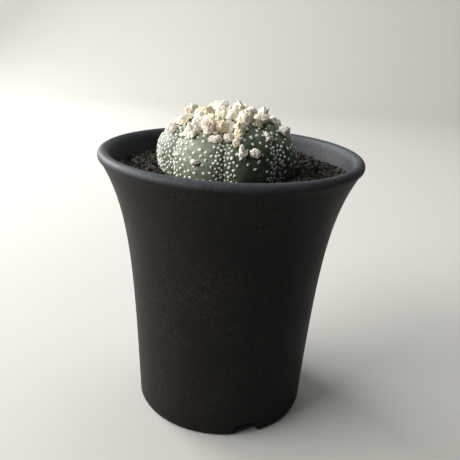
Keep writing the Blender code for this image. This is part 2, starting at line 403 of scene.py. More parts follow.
@dataclass(frozen=True)
class CactusSkin(Finish):
    """Living cactus skin: a tough grey-green rind under a thin waxy bloom.

    The wax pales the crests and dulls the gloss, the furrows stay a deeper green, and fine
    mottling and pores keep the rind from looking painted. The same pale colour also paints light
    on the ribs at the left, and a painted highlight on the flank left of the front furrow.
    """

    deep: str
    middle: str
    bloom_and_painted_light: str
    mottle_mm: float
    pore_mm: float
    mottle_depth_mm: float = 0.12
    pore_depth_mm: float = 0.04
    veil_gain: float = 1.7

    def patterns(self, add: Adder, place: Socket) -> dict[str, Socket]:
        """Lay the painted share of waxy bloom and painted light, mottled, over the deep green."""
        wax_and_light = add("ShaderNodeAttribute", attribute_name="bloom_and_painted_light")
        mottle = add("ShaderNodeTexNoise", {
            "Vector": place, "Scale": per_mm(self.mottle_mm), "Detail": 5.0, "Roughness": 0.62})
        pores = add("ShaderNodeTexVoronoi", {"Vector": place, "Scale": per_mm(self.pore_mm)})
        cloud = add("ShaderNodeMapRange", {
            "Value": mottle.outputs["Fac"], "From Min": 0.36, "From Max": 0.66})
        green = add("ShaderNodeMix", {
            0: cloud.outputs[0], 6: linear(self.deep), 7: linear(self.middle)}, data_type="RGBA")
        share = add("ShaderNodeMath", {0: wax_and_light.outputs["Fac"], 1: mottle.outputs["Fac"]},
                    operation="MULTIPLY")
        # The share holds waxy bloom and painted light on the lit ribs.
        veil_and_light = add("ShaderNodeMath", {0: share.outputs[0], 1: self.veil_gain},
                   operation="MULTIPLY", use_clamp=True)
        colour = add("ShaderNodeMix", {
            0: veil_and_light.outputs[0], 6: green.outputs[2], 7: linear(self.bloom_and_painted_light)}, data_type="RGBA")
        pit = add("ShaderNodeMapRange", {"Value": pores.outputs["Distance"], "From Max": 0.55})
        relief = add("ShaderNodeBump", {
            "Height": pit.outputs[0], "Strength": 0.35, "Distance": self.pore_depth_mm * MM})
        skin = add("ShaderNodeBump", {
            "Height": mottle.outputs["Fac"], "Strength": 0.5, "Distance": self.mottle_depth_mm * MM,
            "Normal": relief.outputs["Normal"]})
        return {"Base Color": colour.outputs[2], "Normal": skin.outputs["Normal"]}


@dataclass(frozen=True)
class PlantWool(Finish):
    """Matted plant hair: dry, soft and fully matte, each tuft in its own painted tint.

    Fine strands scatter light at grazing angles, so it has a soft sheen and no highlight. Single
    strands are too fine to show, so the matting is drawn coarser.
    """

    attribute: str
    shade: str
    strand_mm: float
    relief_mm: float
    sheen: float

    def constants(self) -> dict[str, object]:
        """The soft sheen of the hair."""
        return {"Sheen Weight": self.sheen, "Sheen Roughness": 0.5}

    def patterns(self, add: Adder, place: Socket) -> dict[str, Socket]:
        """Shade the painted tint between the strands."""
        tint = add("ShaderNodeAttribute", attribute_name=self.attribute)
        strands = add("ShaderNodeTexNoise", {
            "Vector": place, "Scale": per_mm(self.strand_mm), "Detail": 4.0, "Roughness": 0.65,
            "Distortion": 1.2})
        gap = add("ShaderNodeMapRange", {
            "Value": strands.outputs["Fac"], "From Min": 0.50, "From Max": 0.28, "To Max": 0.45})
        colour = add("ShaderNodeMix", {
            0: gap.outputs[0], 6: tint.outputs["Color"], 7: linear(self.shade)}, data_type="RGBA")
        bump = add("ShaderNodeBump", {
            "Height": strands.outputs["Fac"], "Strength": 0.6, "Distance": self.relief_mm * MM})
        return {"Base Color": colour.outputs[2], "Normal": bump.outputs["Normal"]}


@dataclass(frozen=True)
class CrushedStone(Finish):
    """Crushed volcanic stone: rough, porous, unpolished grains.

    The tint is a hex colour, or the name of the attribute that paints each grain its own.
    """

    tint: str
    pale: str
    pore_mm: float
    relief_mm: float

    def patterns(self, add: Adder, place: Socket) -> dict[str, Socket]:
        """Give the grain's tint paler edges and open pores."""
        if self.tint.startswith("#"):
            tint = linear(self.tint)
        else:
            tint = add("ShaderNodeAttribute", attribute_name=self.tint).outputs["Color"]
        pores = add("ShaderNodeTexNoise", {
            "Vector": place, "Scale": per_mm(self.pore_mm), "Detail": 5.0, "Roughness": 0.7})
        crumb = add("ShaderNodeMapRange", {
            "Value": pores.outputs["Fac"], "From Min": 0.52, "From Max": 0.74, "To Max": 0.5})
        colour = add("ShaderNodeMix", {
            0: crumb.outputs[0], 6: tint, 7: linear(self.pale)}, data_type="RGBA")
        bump = add("ShaderNodeBump", {
            "Height": pores.outputs["Fac"], "Strength": 0.8, "Distance": self.relief_mm * MM})
        return {"Base Color": colour.outputs[2], "Normal": bump.outputs["Normal"]}


@dataclass(frozen=True)
class StudioPaper(Finish):
    """Seamless background paper: pale and matte, with the faintest tooth."""

    colour: str
    tooth_mm: float

    def constants(self) -> dict[str, object]:
        """One pale colour with hardly a reflection."""
        return {"Base Color": linear(self.colour), "Specular IOR Level": 0.2}

    def patterns(self, add: Adder, place: Socket) -> dict[str, Socket]:
        """Add the tooth."""
        tooth = add("ShaderNodeTexNoise", {"Vector": place, "Scale": per_mm(self.tooth_mm)})
        bump = add("ShaderNodeBump", {
            "Height": tooth.outputs["Fac"], "Strength": 0.1, "Distance": 0.05 * MM})
        return {"Normal": bump.outputs["Normal"]}


POT_PLASTIC = MouldedPlastic(
    "black_moulded_polypropylene", "pot_plastic", 0.52, 1.49, colour="#1c1917", dusty="#55514c",
    grain_mm=0.60, grain_depth_mm=0.12, cloud_mm=14.0, dust_share=0.40, specular=0.19, lime_and_painted_sheen="#7b828c")
NET_PLASTIC = MouldedPlastic(
    "green_drain_net_polyethylene", "net_plastic", 0.45, 1.51, colour="#26453a", dusty="#6c7c70",
    grain_mm=0.6, grain_depth_mm=0.03, cloud_mm=8.0, dust_share=0.2, specular=0.5, lime_and_painted_sheen="#7c8478")
SKIN = CactusSkin(
    "waxy_cactus_rind", "cactus_skin", 0.52, 1.42, deep="#46543f", middle="#556350",
    bloom_and_painted_light="#8f9986", mottle_mm=2.6, pore_mm=0.28)
FLECKS = PlantWool(
    "white_fleck_wool", "areole_wool", 0.92, 1.45, attribute="fleck_tint", shade="#b9b7a8",
    strand_mm=0.25, relief_mm=0.05, sheen=0.25)
WOOL = PlantWool(
    "matted_areole_wool", "areole_wool", 0.95, 1.45, attribute="wool_tint", shade="#b3a68f",
    strand_mm=0.55, relief_mm=0.16, sheen=0.3)
GRIT = CrushedStone(
    "dark_volcanic_grit", "soil_grit", 0.93, 1.5, tint="grain_tint", pale="#6b655c",
    pore_mm=0.35, relief_mm=0.12)
PUMICE = CrushedStone(
    "crushed_pumice", "pumice", 0.95, 1.5, tint="#a99e8b", pale="#d8d0c0", pore_mm=0.8, relief_mm=0.3)
PAPER = StudioPaper("pale_studio_paper", "", 0.9, 1.45, colour="#c4c2be", tooth_mm=1.5)


# ---- Pot ----

@dataclass
class Pot:
    """The tall flared pot: one turned wall with a rolled lip, a raised floor and a notched foot."""

    height: float = 94.5
    rim_radius: float = 45.0
    foot_radius: float = 30.9
    taper: float = 0.043
    flare_length: float = 18.0
    lip_radius: float = 1.85
    lip_swell: float = 2.0
    swell_length: float = 8.0
    wall: float = 1.8
    floor: float = 2.0
    foot_height: float = 5.0
    foot_width: float = 2.8
    foot_rounding: float = 1.0
    edge_rounding: float = 0.5
    drain_radius: float = 5.0
    notch_count: int = 3
    notch_width: float = 9.4
    notch_height: float = 4.6
    notch_azimuth: float = 18.5
    fillet: float = 2.0
    # Grey film on the lip's top and the inner wall: part dried lime, part painted sheen.
    lip_lime_and_sheen: float = 0.34
    inside_lime_and_sheen: float = 0.24
    most_lime_and_sheen: float = 0.45
    lime_and_sheen_depth: float = 16.0
    columns: int = 216
    notch_columns: int = 25

    def outer(self, height: np.ndarray) -> np.ndarray:
        """Outer radius at a height: a straight taper plus a flare that grows as e to the power of
        the height up to the lip, in flare lengths.
        """
        lip_height = self.height - self.lip_radius
        flare = self.rim_radius - (self.foot_radius + self.taper * lip_height)
        grown = np.exp((height - lip_height) / self.flare_length)
        return self.foot_radius + self.taper * height + flare * grown

    def inner(self, height: np.ndarray) -> np.ndarray:
        """Inner radius at a height: the wall thickens, again as e to a power, up to the lip."""
        swell = self.lip_swell * np.exp((height - self.height + self.lip_radius) / self.swell_length)
        return self.outer(height) - self.wall - swell

    def outline(self) -> np.ndarray:
        """Closed outline of (radius, height) in mm, down the outside and up the inside.

        Returns:
            The lip's arc, the outer wall, the rounded foot, the recess, the floor with its rounded
            hole, the fillet and the inner wall, one after the other.
        """
        lip = (self.rim_radius - self.lip_radius, self.height - self.lip_radius)
        foot, recess, ease = self.foot_radius, self.foot_height, self.edge_rounding
        round_foot, fillet = self.foot_rounding, self.fillet
        floor_top = recess + self.floor
        foot_inside = foot - self.foot_width
        hole = self.drain_radius + ease
        lip_arc = arc(lip, self.lip_radius, 160.0, -30.0, 34)
        down = np.linspace(lip_arc[-1, 1] - 0.3 * self.lip_radius, round_foot, 64)
        up = np.linspace(floor_top + fillet, lip[1] - 0.4 * self.lip_radius, 46)
        return np.concatenate([
            lip_arc,
            np.stack([self.outer(down), down], axis=-1),
            arc((foot - round_foot, round_foot), round_foot, -12.0, -90.0, 7),
            arc((foot_inside + ease, ease), ease, -90.0, -180.0, 5),
            line((foot_inside, 2 * ease), (foot_inside, recess - ease), 5),
            arc((foot_inside - ease, recess - ease), ease, 0.0, 90.0, 5),
            line((foot_inside - 3 * ease, recess), (hole + ease, recess), 14),
            arc((hole, recess + ease), ease, -90.0, -180.0, 5),
            arc((hole, floor_top - ease), ease, 180.0, 90.0, 5),
            line((hole + 2 * ease, floor_top), (self.inner(floor_top) - fillet - ease, floor_top), 12),
            arc((self.inner(floor_top + fillet) - fillet, floor_top + fillet), fillet, -80.0, -10.0, 6),
            np.stack([self.inner(up), up], axis=-1),
        ])

    def notch_centres(self) -> np.ndarray:
        """Azimuths in radians of the notches' middles."""
        steps = TURN * np.arange(self.notch_count) / self.notch_count
        return np.radians(self.notch_azimuth) + steps

    def azimuths(self) -> np.ndarray:
        """Columns round the pot, with more of them across each notch."""
        even = np.linspace(0.0, TURN, self.columns, endpoint=False)
        half = math.asin(0.5 * self.notch_width / self.foot_radius)
        across = np.cos(np.linspace(0.0, math.pi, self.notch_columns)) * half
        centres = self.notch_centres()
        notches = (centres[:, None] + across[None, :]).ravel() % TURN
        far = np.abs((even[:, None] - centres[None, :] + math.pi) % TURN - math.pi).min(axis=1) > half
        return np.unique(np.concatenate([even[far], notches]).round(6))

    def build(self) -> bpy.types.Mesh:
        """Turn the outline and lift the foot over each notch.

        A notch is half an ellipse across its azimuth: the foot's lowest edge rises by the notch's
        height times the root of one minus the square of the distance across, in half widths. What
        lies between that edge and the floor is squeezed upwards in proportion.

        Returns:
            The pot's mesh.
        """
        outline, azimuths = self.outline(), self.azimuths()
        radius, height = outline[:, :1], outline[:, 1:]
        turn = (azimuths[:, None] - self.notch_centres()[None, :] + math.pi) % TURN - math.pi
        nearest = np.take_along_axis(turn, np.abs(turn).argmin(axis=1)[:, None], axis=1)[:, 0]
        across = radius * np.sin(nearest)[None, :] / (0.5 * self.notch_width)
        lift = self.notch_height * np.sqrt(np.clip(1.0 - across ** 2, 0.0, None))
        lift *= (np.abs(nearest) < 0.5)[None, :] * (radius > self.foot_radius - self.foot_width - 0.1)
        low = height < self.foot_height
        raised = np.where(low, lift + height * (1.0 - lift / self.foot_height), height)
        outside = low & (radius > self.foot_radius - self.foot_rounding)
        reach = radius + np.where(outside, self.outer(raised) - self.outer(height), 0.0)
        points = np.stack([reach * np.sin(azimuths), -reach * np.cos(azimuths), raised], axis=-1)
        quads = grid_quads(len(outline), len(azimuths), True)
        mesh = build_mesh("pot_shell", points.reshape(-1, 3) * MM, [quads[:, ::-1]])
        rim, lip = self.height, self.lip_radius
        # Painted sheen with dried lime: a grey film on the lip's top and on the inner wall near the rim.
        top = smooth_step(rim - 1.6 * lip, rim - 0.3 * lip, height)
        inside = smooth_step(rim - self.lime_and_sheen_depth, rim - 0.5 * self.lime_and_sheen_depth, height)
        inside = inside * (radius < self.inner(height) + 0.4)
        lime_and_sheen = np.clip(self.lip_lime_and_sheen * top + self.inside_lime_and_sheen * inside, 0.0, self.most_lime_and_sheen)
        paint(mesh, "lime_and_painted_sheen", np.repeat(lime_and_sheen, len(azimuths), axis=0))
        return mesh

    def add(self) -> None:
        """Add the pot in its plastic."""
        add_piece(self.build(), POT_PLASTIC, ["pot"])


# ---- Plant ----

@dataclass
class Plant:
    """The cactus body: broad ribs between furrows on a low dome, and a blunt buried root.

    Its furrows are a little shallower and rounder than the CAD's, because the flecks fill them.
    """

    centre_x: float = -1.5
    centre_y: float = -1.0
    radius: float = 23.8
    dome: float = 14.4
    root: float = 28.0
    equator: float = 93.5
    dome_power: float = 2.2
    root_power: float = 1.75
    ribs: int = 8
    rib_depth: float = 1.7
    groove_sharpness: float = 0.6
    groove_start: float = 38.0
    front_furrow: float = -2.0
    front_spread: float = 3.0
    crown_dip: float = 0.9
    crown_dip_angle: float = 16.0
    soil_angle: float = 108.0
    heart_drop: float = 4.0
    pit_depth: float = 0.5
    columns: int = 400
    areoles: list[Areole] = field(default_factory=list)

    def spread(self, phase: np.ndarray) -> np.ndarray:
        """Azimuth in degrees of an even rib phase: the front ribs stand a little wider."""
        return self.front_furrow + phase + self.front_spread * np.sin(np.radians(phase))

    def phase_of(self, azimuth: float) -> float:
        """Rib phase of an azimuth, the inverse of spread, by repeated correction."""
        phase = azimuth - self.front_furrow
        for _ in range(5):
            phase = azimuth - self.front_furrow - self.front_spread * math.sin(math.radians(phase))
        return phase

    def shade(self, phase: np.ndarray) -> np.ndarray:
        """Share of shade on the ribs: 0 at the left of the front furrow, 1 at its right."""
        return 0.5 + 0.5 * np.tanh(6.0 * np.sin(np.radians(phase)))

    def off_crest(self, phase: np.ndarray) -> np.ndarray:
        """Share of the way from a rib's crest, 0, to the furrow beside it, 1."""
        width = 360.0 / self.ribs
        return np.abs(((phase / width) % 1.0) - 0.5) * 2.0

    def meridian(self, angle: np.ndarray) -> tuple[np.ndarray, np.ndarray]:
        """Outline over a rib at angles in degrees down from the crown.

        Above the widest level it is a superellipse, radius times sine and dome times cosine, each
        to the power of two over the dome's power, dented at the crown by a bell curve. Below it the
        same form has the root's depth and power.

        Returns:
            Radii and heights in mm.
        """
        side = np.clip(np.sin(np.radians(angle)), 0.0, None)
        drop = np.cos(np.radians(angle))
        upper = drop >= 0.0
        power = np.where(upper, 2.0 / self.dome_power, 2.0 / self.root_power)
        reach = np.where(upper, self.dome, -self.root) * np.abs(drop) ** power
        dip = np.where(upper, self.crown_dip * np.exp(-((angle / self.crown_dip_angle) ** 2)), 0.0)
        return self.radius * side ** power, self.equator + reach - dip

    def skin(self, phase: np.ndarray, angle: np.ndarray) -> np.ndarray:
        """Places on the skin in mm, at rib phases and crown angles in degrees.

        The furrows cut in by the rib depth times one minus the sine of the rib phase, to the power
        of the groove's sharpness, and fade out at the crown and down the root.
        """
        phase, angle = np.broadcast_arrays(np.asarray(phase, float), np.asarray(angle, float))
        radius, height = self.meridian(angle)
        across = np.abs(np.sin(np.radians(self.ribs * phase / 2.0))) ** self.groove_sharpness
        fade = smooth_step(0.0, self.groove_start, angle)
        side = np.clip(np.sin(np.radians(angle)), 0.0, None)
        fade = fade * np.where(angle > 90.0, side ** 3, 1.0)
        depth = self.rib_depth * (1.0 - across) * fade
        radius = np.clip(radius - depth * side, 0.0, None)
        height = height - depth * np.cos(np.radians(angle))
        azimuth = np.radians(self.spread(phase))
        x, y = self.centre_x + radius * np.sin(azimuth), self.centre_y - radius * np.cos(azimuth)
        return np.stack([x, y, height], axis=-1)

    def frame_at(self, phase: np.ndarray, angle: np.ndarray) -> tuple[np.ndarray, ...]:
        """Local frames on the skin.

        Args:
            phase: rib phases in degrees.
            angle: crown angles in degrees.

        Returns:
            Places in mm, then unit vectors outwards, downhill and across, from finite differences.
        """
        step = 1.0
        down = unit(self.skin(phase, angle + step) - self.skin(phase, angle - step))
        around = self.skin(phase + step, angle) - self.skin(phase - step, angle)
        normal = unit(np.cross(down, around))
        return self.skin(phase, angle), normal, down, np.cross(normal, down)

    def nearest_angle(self, azimuth: float, place: np.ndarray) -> float:
        """Crown angle of the skin point nearest to a place, searched along one azimuth."""
        angles = np.linspace(0.0, 120.0, 481)
        points = self.skin(self.phase_of(azimuth), angles)
        return float(angles[np.linalg.norm(points - place, axis=-1).argmin()])

    def swollen(self, points: np.ndarray, angle: np.ndarray) -> np.ndarray:
        """Move places on the skin by the rind's relief, away from a point in the body's heart."""
        heart = np.array([self.centre_x, self.centre_y, self.equator - self.heart_drop])
        return points + unit(points - heart) * self.relief(points, angle)[..., None]

    def relief(self, points: np.ndarray, angle: np.ndarray) -> np.ndarray:
        """Slight lumps of the living rind, and a shallow pit under each tuft, in mm outwards."""
        lumps = 0.16 * ripples(points, 9.0, 14, SEED) + 0.06 * ripples(points, 3.2, 18, SEED + 1)
        for areole in self.areoles:
            distance = np.linalg.norm(points - areole.place, axis=-1)
            lumps -= self.pit_depth * np.exp(-((distance / (0.62 * areole.width)) ** 2))
        return lumps * smooth_step(4.0, 14.0, angle)

    def bloom_and_painted_light(self, phase: np.ndarray, angle: np.ndarray, points: np.ndarray) -> np.ndarray:
        """Share of pale veil: waxy bloom, clouded, on the crests, plus painted light: more on the lit ribs
        at the left, a painted highlight on the flank just left of the front furrow, and more low down.
        """
        crest = 1.0 - smooth_step(0.35, 0.95, self.off_crest(phase))
        clouds = 0.5 + 0.5 * ripples(points, 7.0, 12, SEED + 2)
        # Painted light: the ribs left of the front furrow, which face the light, are made paler.
        painted_light_side = 1.0 - self.shade(phase)
        low = smooth_step(70.0, 100.0, angle)
        veil_and_light = (0.16 + 0.24 * painted_light_side) * crest * (0.4 + 0.6 * clouds)
        # Painted highlight on the flank just left of the front furrow, brighter low down.
        flank_highlight = (0.55 + 0.25 * low) * bell(phase, -17.0, 16.0)
        return np.clip(0.08 + 0.26 * painted_light_side + veil_and_light + 0.06 * low + flank_highlight, 0.0, 1.0)

    def build(self) -> bpy.types.Mesh:
        """Build the body as rings of skin points from the crown to the root's tip.

        Returns:
            The mesh, with its share of bloom painted.
        """
        shown = np.linspace(1.2, self.soil_angle, 150)
        buried = np.linspace(self.soil_angle + 2.0, 178.5, 26)
        angle = np.concatenate([shown, buried])[:, None]
        phase = np.linspace(0.0, 360.0, self.columns, endpoint=False)[None, :]
        points = self.skin(phase, angle)
        points = self.swollen(points, np.broadcast_to(angle, points.shape[:2]))
        # Shares of waxy bloom and of painted light on the lit side.
        shares = self.bloom_and_painted_light(phase, angle, points)
        poles = self.skin(np.zeros(2), np.array([0.0, 180.0]))
        every = np.concatenate([points.reshape(-1, 3), poles])
        mesh = build_mesh("cactus_body_skin", every * MM, capped_faces(len(angle), self.columns))
        paint(mesh, "bloom_and_painted_light", np.append(shares, [0.4, 0.2])[:, None])
        return mesh

    def add(self) -> None:
        """Add the body in its rind."""
        add_piece(self.build(), SKIN, ["cactus_body"])


@dataclass
class Flecks:
    """The white flecks: small flat tufts of hair, sparse on the ribs and crowded along furrows."""

    plant: Plant
    rib_gap: float = 1.86
    furrow_gap: float = 1.08
    furrow_share: float = 0.64
    width: float = 1.18
    thickness: float = 0.26
    sunk: float = 0.12
    crescent_share: float = 0.35
    bare: float = 1000.0
    darts: int = 30000
    sides: int = 8

    def gap(self, phase: np.ndarray, angle: np.ndarray) -> np.ndarray:
        """Least distance between flecks in mm: small near a furrow, and large low on a rib.

        Returns:
            Gaps, with a very large one where the rind is bare.
        """
        off, shade = self.plant.off_crest(phase), self.plant.shade(phase)
        band = self.furrow_share + 0.16 * (1.0 - smooth_step(45.0, 80.0, angle))
        near = smooth_step(band - 0.10, band + 0.10, off)
        rib = self.rib_gap + shade * (0.35 + 0.7 * smooth_step(72.0, 95.0, angle) * (1.0 - off))
        rib = rib - 0.85 * bell(phase, -68.0, 22.0)
        gap = rib + (self.furrow_gap - rib) * near
        return np.where((angle > 102.0 - 10.0 * shade) & (off < 0.45), self.bare, gap)

    def scatter(self) -> tuple[np.ndarray, np.ndarray]:
        """Throw seeded darts evenly over the dome and keep those that have room.

        Returns:
            Rib phases and crown angles of the kept flecks.
        """
        dice = np.random.default_rng(SEED + 3)
        angle = np.degrees(np.arccos(dice.uniform(-0.22, 0.97, self.darts)))
        phase = dice.uniform(0.0, 360.0, self.darts)
        places = self.plant.skin(phase, angle)
        gaps = self.gap(phase, angle) * dice.uniform(0.9, 1.12, self.darts)
        clear = np.full(self.darts, True)
        for areole in self.plant.areoles:
            clear &= np.linalg.norm(places - areole.place, axis=-1) > 0.5 * areole.width + 0.25
        kept = np.empty(self.darts, int)
        count = 0
        for index in np.flatnonzero(clear & (gaps < 0.5 * self.bare)):
            others = kept[:count]
            room = np.minimum(gaps[index], gaps[others])
            if (np.linalg.norm(places[others] - places[index], axis=-1) > room).all():
                kept[count] = index
                count += 1
        return phase[kept[:count]], angle[kept[:count]]

    def dome(self) -> tuple[np.ndarray, np.ndarray]:
        """One fleck of width one: rings at its foot, shoulder and brow, and a middle point each end.

        Returns:
            Its points and its triangles.
        """
        turn = np.linspace(0.0, TURN, self.sides, endpoint=False)
        rings = [(0.46, -1.0), (0.50, 0.15), (0.30, 0.85)]
        level = np.ones(self.sides)
        rows = [np.stack([share * np.cos(turn), share * np.sin(turn), height * level], axis=-1)
                for share, height in reversed(rings)]
        points = np.concatenate(rows + [np.array([[0.0, 0.0, 1.0], [0.0, 0.0, -1.0]])])
        return points, capped_triangles(len(rings), self.sides)

    def build(self) -> bpy.types.Mesh:
        """Set every fleck on the skin, turned, stretched and bent to a crescent by its own dice.

        A bent fleck's points move along it by the bend times the square of their distance across.

        Returns:
            The mesh of all flecks, each with its tint.
        """
        phase, angle = self.scatter()
        dice = np.random.default_rng(SEED + 4)
        count = len(phase)
        form, faces = self.dome()
        place, normal, down, across = self.plant.frame_at(phase, angle)
        place = self.plant.swollen(place, angle)
        crowd = smooth_step(0.5, 0.8, self.plant.off_crest(phase))
        far_left = bell(phase, -80.0, 32.0)
        size = (self.width - 0.16 * crowd) * dice.uniform(0.8, 1.2, count) * (1.0 - 0.10 * far_left)
        narrow = dice.uniform(0.62, 1.0, count)
        crescent = dice.random(count) < self.crescent_share
        bend = np.where(crescent, dice.uniform(0.9, 1.9, count), 0.0)
        turn = dice.normal(0.0, 0.7, count)
        wobble = 1.0 + 0.14 * dice.normal(size=(count, form.shape[0]))
        x = form[:, 0] * wobble * size[:, None]
        y = form[:, 1] * wobble * (size * narrow)[:, None] + bend[:, None] * x ** 2
        z = form[:, 2] * np.where(form[:, 2] > 0.0, self.thickness, self.sunk)
        x, y = rotated(x, y, turn[:, None])
        points = (place[:, None] + x[..., None] * across[:, None] + y[..., None] * down[:, None]
                  + z[None, :, None] * normal[:, None])
        every, triangles = join_copies(points, faces)
        mesh = build_mesh("cactus_flecks", every * MM, [triangles])
        white, grey = np.array(linear("#fbfaf3")[:3]), np.array(linear("#dcdacd")[:3])
        tints = grey + (white - grey) * dice.uniform(0.55, 1.0, count)[:, None]
        # Painted shade: the flecks on the far left ribs are darkened, to hold down the light there.
        tints = tints * (1.0 - 0.30 * far_left)[:, None]
        paint(mesh, "fleck_tint", np.repeat(tints, form.shape[0], axis=0))
        return mesh

    def add(self) -> None:
        """Add the flecks as one piece."""
        add_piece(self.build(), FLECKS, [])


class Lump(Enum):
    """The forms that a tuft of wool takes: (lobes, how far out they stand, height of their tips)."""

    CHUNK = (8, 0.48, 0.12)
    KNOT = (11, 0.55, 0.16)
    TWIN = (2, 0.60, 0.06)
    CHAIN = (3, 0.66, 0.12)
    STAR = (5, 0.62, 0.55)
    PEAK = (5, 0.40, 0.30)


class Tint(Enum):
    """The tints of the wool, as its fresh colour and the darker colour of the stain at its tips, which
    also paints shade in its folds.
    """

    WHITE = ("#f1ebde", "#d2c2a6")
    CREAM = ("#f0e7d3", "#dac39b")
    YELLOW = ("#ecdfc4", "#b08a55")
    TAN = ("#f0e3c6", "#bf8a52")
    GREY = ("#e6e1d6", "#bdb29f")
    LILAC = ("#ece2d6", "#b09d90")
    PINK = ("#f8f0e6", "#d0b7a6")


@dataclass(frozen=True)
class Shape:
    """How one tuft looks: its form and tint, its sizes across and down its rib and how far it
    stands out, all in mm, and its turn on the rib in degrees.
    """

    lump: Lump = Lump.KNOT
    tint: Tint = Tint.CREAM
    across: float = 4.0
    down: float = 3.6
    height: float = 2.6
    turn: float = 0.0


SHAPES = {
    "crown_1": Shape(Lump.CHUNK, Tint.CREAM, 5.4, 4.4, 3.5, 20.0),
    "crown_2": Shape(Lump.TWIN, Tint.WHITE, 4.2, 3.6, 2.7, 15.0),
    "crown_3": Shape(Lump.PEAK, Tint.WHITE, 4.0, 3.8, 3.2),
    "crown_4": Shape(Lump.KNOT, Tint.WHITE, 5.0, 4.2, 3.0),
    "crown_5": Shape(Lump.TWIN, Tint.WHITE, 4.8, 3.8, 3.0, -30.0),
    "rib_front_left_1": Shape(Lump.KNOT, Tint.WHITE, 4.4, 4.2, 2.9),
    "rib_front_left_2": Shape(Lump.CHUNK, Tint.WHITE, 4.2, 4.0, 2.9),
    "rib_front_left_3": Shape(Lump.STAR, Tint.WHITE, 3.7, 4.1, 2.1, 90.0),
    "rib_front_left_4": Shape(Lump.CHAIN, Tint.WHITE, 3.6, 1.6, 1.2, 35.0),
    "rib_front_left_5": Shape(Lump.CHUNK, Tint.LILAC, 4.3, 4.8, 3.1, 100.0),
    "rib_front_left_6": Shape(Lump.CHAIN, Tint.CREAM, 4.8, 3.4, 2.7),
    "rib_front_left_7": Shape(Lump.KNOT, Tint.YELLOW, 3.9, 4.1, 2.9),
    "rib_front_left_8": Shape(Lump.CHUNK, Tint.PINK, 4.0, 2.3, 1.9, -4.0),
    "rib_front_left_9": Shape(Lump.TWIN, Tint.PINK, 2.0, 2.2, 1.7, 10.0),
    "rib_front_right_1": Shape(Lump.KNOT, Tint.GREY, 2.9, 4.2, 2.3),
    "rib_front_right_2": Shape(Lump.CHUNK, Tint.GREY, 3.2, 3.0, 1.9),
    "rib_front_right_3": Shape(Lump.CHUNK, Tint.CREAM, 3.3, 3.6, 2.5, 95.0),
    "rib_front_right_4": Shape(Lump.KNOT, Tint.CREAM, 3.0, 3.2, 2.2, 60.0),
    "rib_front_right_5": Shape(Lump.PEAK, Tint.CREAM, 2.3, 2.7, 1.6, 95.0),
    "rib_front_right_6": Shape(Lump.CHUNK, Tint.CREAM, 4.6, 4.4, 3.5, 15.0),
    "rib_front_right_7": Shape(Lump.KNOT, Tint.YELLOW, 3.4, 3.0, 2.2),
    "rib_front_right_8": Shape(Lump.STAR, Tint.WHITE, 2.7, 3.1, 1.3, 40.0),
    "rib_front_right_9": Shape(Lump.CHAIN, Tint.PINK, 2.3, 3.4, 2.0, 8.0),
    "rib_front_right_10": Shape(Lump.PEAK, Tint.PINK, 2.9, 2.8, 2.1, -90.0),
    "rib_right_1": Shape(Lump.KNOT, Tint.WHITE, 4.2, 4.0, 2.6),
    "rib_right_2": Shape(Lump.CHUNK, Tint.PINK, 3.2, 3.0, 1.9),
    "rib_right_3": Shape(Lump.CHUNK, Tint.GREY, 3.8, 3.6, 2.5),
    "rib_left_1": Shape(Lump.CHUNK, Tint.LILAC, 3.4, 3.4, 2.3, 30.0),
    "rib_left_2": Shape(Lump.KNOT, Tint.WHITE, 2.6, 2.2, 1.3),
    "rib_left_3": Shape(Lump.CHAIN, Tint.CREAM, 2.9, 4.2, 2.0),
    "rib_left_4": Shape(Lump.CHAIN, Tint.TAN, 4.2, 5.0, 2.9, 20.0),
    "rib_back_left_1": Shape(Lump.KNOT, Tint.WHITE, 4.4, 4.2, 3.1),
    "rib_back_left_2": Shape(Lump.KNOT, Tint.CREAM, 2.6, 2.6, 1.6),
    "rib_back_right_1": Shape(Lump.PEAK, Tint.WHITE, 3.5, 3.4, 2.8),
    "rib_back_right_2": Shape(Lump.KNOT, Tint.CREAM, 2.0, 2.0, 1.2),
    "rib_back_right_3": Shape(Lump.KNOT, Tint.CREAM, 2.6, 2.6, 1.6),
}


@dataclass
class Areole:
    """One tuft: its CAD node, shape, place and width in mm, and its rib phase and crown angle."""

    node: str
    shape: Shape
    place: np.ndarray
    width: float
    phase: float
    angle: float


